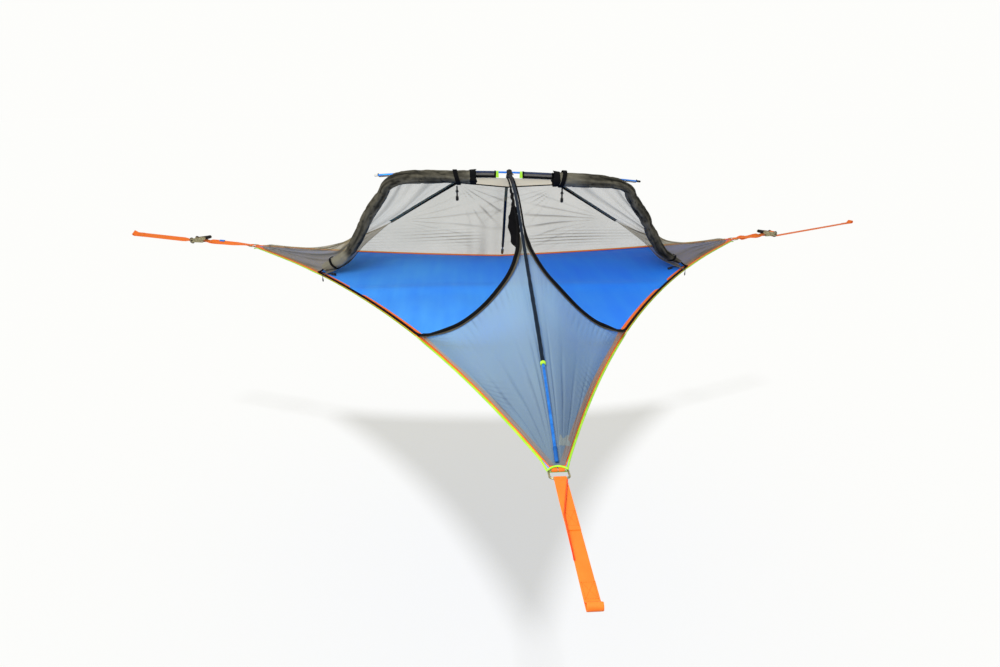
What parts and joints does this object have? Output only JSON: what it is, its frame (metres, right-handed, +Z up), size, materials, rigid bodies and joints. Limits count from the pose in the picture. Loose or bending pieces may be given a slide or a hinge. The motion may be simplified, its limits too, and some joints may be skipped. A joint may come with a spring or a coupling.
{
  "type": "tree tent",
  "caption": "Suspended tree tent: triangular fabric floor pulled taut by webbing straps with ratchets, insect mesh canopy on crossed poles, zipped doors rolled up to its wings",
  "frame": {"origin": "the middle of the three corner rings, in the plane of the floor", "axes": "+Z up; -Y points from the middle to the front corner; +X points right, seen from the front corner"},
  "size_m": [5.3527, 3.8324, 0.6481],
  "materials": {
    "floor_fabric": "woven polyester, matt",
    "insect_mesh": "fine see-through insect mesh",
    "door_fabric": "the same mesh rolled up, matt",
    "gusset_fabric": "light woven fabric, matt",
    "orange_webbing": "woven webbing",
    "lime_piping": "bright piping, satin",
    "black_webbing": "black binding, tape and sleeve fabric",
    "tag_blue": "plain folded tag",
    "black_plastic": "moulded",
    "blue_anodised_pole": "blue anodised tube",
    "plain_aluminium": "drawn tube",
    "zinc_plated_steel": "zinc plated, slightly yellow",
    "dark_steel": "dark plated"
  },
  "bodies": {
    "tent": {"floor_sheet": "floor_fabric", "edge_webbing_left": "orange_webbing", "edge_webbing_right": "orange_webbing", "edge_webbing_back": "orange_webbing", "edge_cord": "lime_piping", "front_mesh": "insect_mesh", "back_wall_mesh": "insect_mesh", "wing_mesh_left": "insect_mesh", "wing_mesh_right": "insect_mesh", "roof_gusset": "gusset_fabric", "rolled_door_left": "door_fabric", "rolled_door_right": "door_fabric", "roll_tie_top_left": "black_webbing", "roll_tie_top_right": "black_webbing", "roll_tie_low_left": "black_webbing", "roll_tie_low_right": "black_webbing", "ridge_band_left": "black_webbing", "ridge_band_right": "black_webbing", "ridge_pole_front": "blue_anodised_pole", "ridge_pole_rear": "blue_anodised_pole", "ridge_ferrule": "plain_aluminium", "spreader_pole": "blue_anodised_pole", "ridge_sleeve": "black_webbing", "sleeve_ring": "lime_piping", "peak_cap": "black_webbing", "spreader_sleeve_left": "black_webbing", "spreader_sleeve_right": "black_webbing", "pole_pocket_front": "black_webbing", "pole_pocket_back": "black_webbing", "lime_tab_left": "lime_piping", "lime_tab_right": "lime_piping", "tip_elastic_left": "black_webbing", "tip_elastic_right": "black_webbing", "zip_track_left": "black_webbing", "zip_track_right": "black_webbing", "door_zip_tape": "black_webbing", "corner_ring_front": "zinc_plated_steel", "corner_ring_left": "zinc_plated_steel", "corner_ring_right": "zinc_plated_steel", "tree_strap_front": "orange_webbing", "tree_strap_left": "orange_webbing", "tree_strap_right": "orange_webbing", "short_strap_left": "orange_webbing", "short_strap_right": "orange_webbing", "strap_tag": "tag_blue", "ratchet_frame_left": "zinc_plated_steel", "ratchet_frame_right": "zinc_plated_steel"},
    "handle_left": {"ratchet_handle_left": "zinc_plated_steel"},
    "handle_right": {"ratchet_handle_right": "zinc_plated_steel"},
    "pawl_left": {"ratchet_pawl_left": "dark_steel"},
    "pawl_right": {"ratchet_pawl_right": "dark_steel"},
    "spool_left": {"ratchet_spool_left": "dark_steel"},
    "spool_right": {"ratchet_spool_right": "dark_steel", "strap_winding_right": "orange_webbing"},
    "slider_left": {"zip_slider_left": "dark_steel"},
    "slider_right": {"zip_slider_right": "dark_steel"},
    "pull_left": {"zip_pull_left": "black_webbing"},
    "pull_right": {"zip_pull_right": "black_webbing"},
    "toggle_left": {"door_toggle_left": "black_plastic"},
    "toggle_right": {"door_toggle_right": "black_plastic"}
  },
  "joints": [
    {"name": "handle_left_swing", "type": "hinge", "parent": "tent", "child": "handle_left", "pos_m": [-2.08129, 1.14191, 0], "axis": [-0.3971, -0.9178, 0], "range_deg": [0, 150]},
    {"name": "handle_right_swing", "type": "hinge", "parent": "tent", "child": "handle_right", "pos_m": [1.97575, 1.09624, 0], "axis": [-0.3971, 0.9178, 0], "range_deg": [0, 150]},
    {"name": "pawl_left_slide", "type": "slide", "parent": "handle_left", "child": "pawl_left", "axis": [0.8977, -0.3885, 0.2079], "range_m": [0, 0.006], "stiffness_N_per_m": 400, "springref_m": -0.004},
    {"name": "pawl_right_slide", "type": "slide", "parent": "handle_right", "child": "pawl_right", "axis": [-0.8977, -0.3885, 0.2079], "range_m": [0, 0.006], "stiffness_N_per_m": 400, "springref_m": -0.004},
    {"name": "spool_left_spin", "type": "hinge", "parent": "tent", "child": "spool_left", "pos_m": [-2.08129, 1.14191, 0], "axis": [-0.3971, -0.9178, 0], "continuous": true},
    {"name": "spool_right_spin", "type": "hinge", "parent": "tent", "child": "spool_right", "pos_m": [1.97575, 1.09624, 0], "axis": [-0.3971, 0.9178, 0], "continuous": true},
    {"name": "slider_left_travel", "type": "hinge", "parent": "tent", "child": "slider_left", "pos_m": [-7.3155, -4.22361, 0], "axis": [0, 0, -1], "range_deg": [0, 8.07]},
    {"name": "slider_right_travel", "type": "hinge", "parent": "tent", "child": "slider_right", "pos_m": [7.3155, -4.22361, 0], "axis": [0, 0, 1], "range_deg": [0, 8.07]},
    {"name": "pull_left_swing", "type": "hinge", "parent": "slider_left", "child": "pull_left", "pos_m": [-1.02397, 0.14539, 0.0065], "axis": [-0.5704, 0.8214, 0], "range_deg": [0, 110]},
    {"name": "pull_right_swing", "type": "hinge", "parent": "slider_right", "child": "pull_right", "pos_m": [1.02397, 0.14539, 0.0065], "axis": [-0.5704, -0.8214, 0], "range_deg": [0, 110]},
    {"name": "toggle_left_swing", "type": "hinge", "parent": "tent", "child": "toggle_left", "pos_m": [-0.26806, -0.04871, 0.51858], "axis": [0, 1, 0], "range_deg": [-45, 45]},
    {"name": "toggle_right_swing", "type": "hinge", "parent": "tent", "child": "toggle_right", "pos_m": [0.26806, -0.04871, 0.50408], "axis": [0, 1, 0], "range_deg": [-45, 45]}
  ]
}
